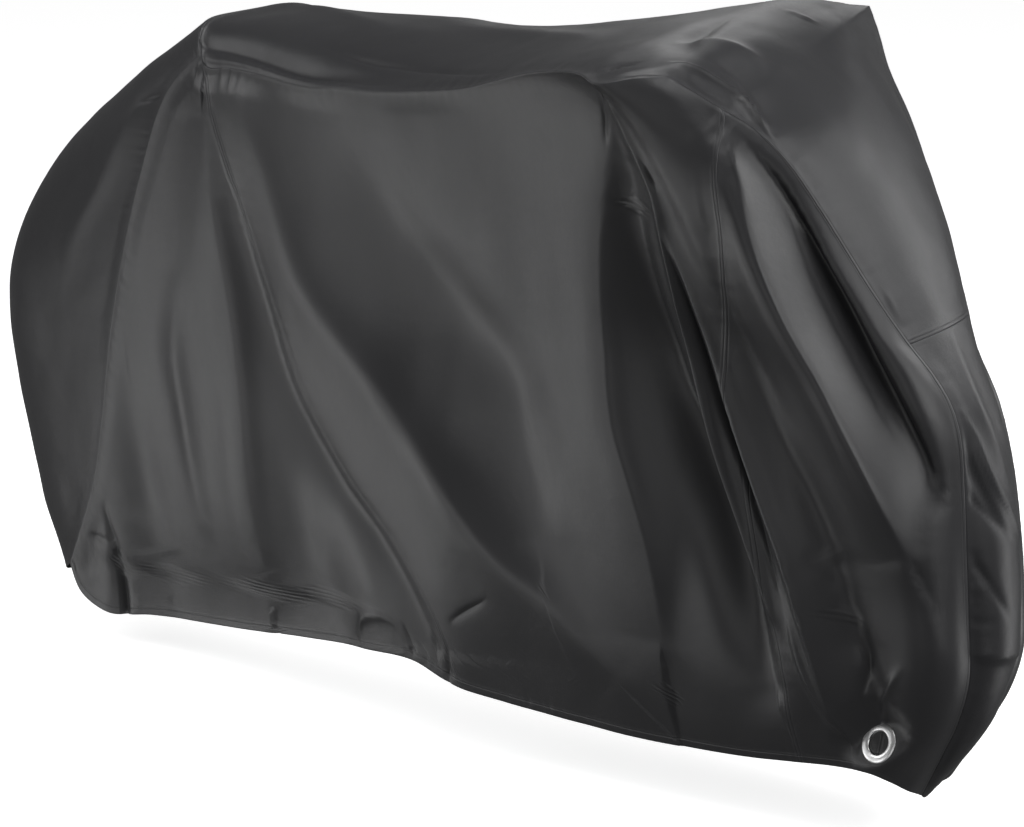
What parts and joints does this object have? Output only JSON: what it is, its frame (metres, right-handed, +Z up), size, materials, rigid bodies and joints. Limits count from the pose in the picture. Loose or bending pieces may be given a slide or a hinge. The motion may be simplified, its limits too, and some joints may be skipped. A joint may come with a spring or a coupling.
{
  "type": "bicycle cover",
  "caption": "Fitted bicycle cover in dark coated cloth, draped over an upright bicycle: shaped side panels, narrow end gussets, a top panel and round metal lock eyelets at the front hem",
  "frame": {"origin": "the middle of the handlebar line that carries the cover's highest point, 33 mm below the cloth", "axes": "+X forward from the tail to the nose, +Y to the rider's left (the far side), +Z up"},
  "size_m": [1.9068, 0.6002, 1.0639],
  "materials": {
    "side_cloth": "satin coated weave",
    "gusset_cloth": "satin coated weave",
    "eyelet_metal": "polished"
  },
  "bodies": {
    "root": {"near_rear_panel": "side_cloth", "near_middle_panel": "side_cloth", "near_front_panel": "side_cloth", "near_eyelet_corner": "side_cloth", "near_eyelet": "eyelet_metal", "far_rear_panel": "side_cloth", "far_middle_panel": "side_cloth", "far_front_panel": "side_cloth", "far_eyelet_corner": "side_cloth", "far_eyelet": "eyelet_metal", "tail_gusset": "gusset_cloth", "top_panel": "gusset_cloth", "nose_gusset": "gusset_cloth"}
  },
  "joints": []
}
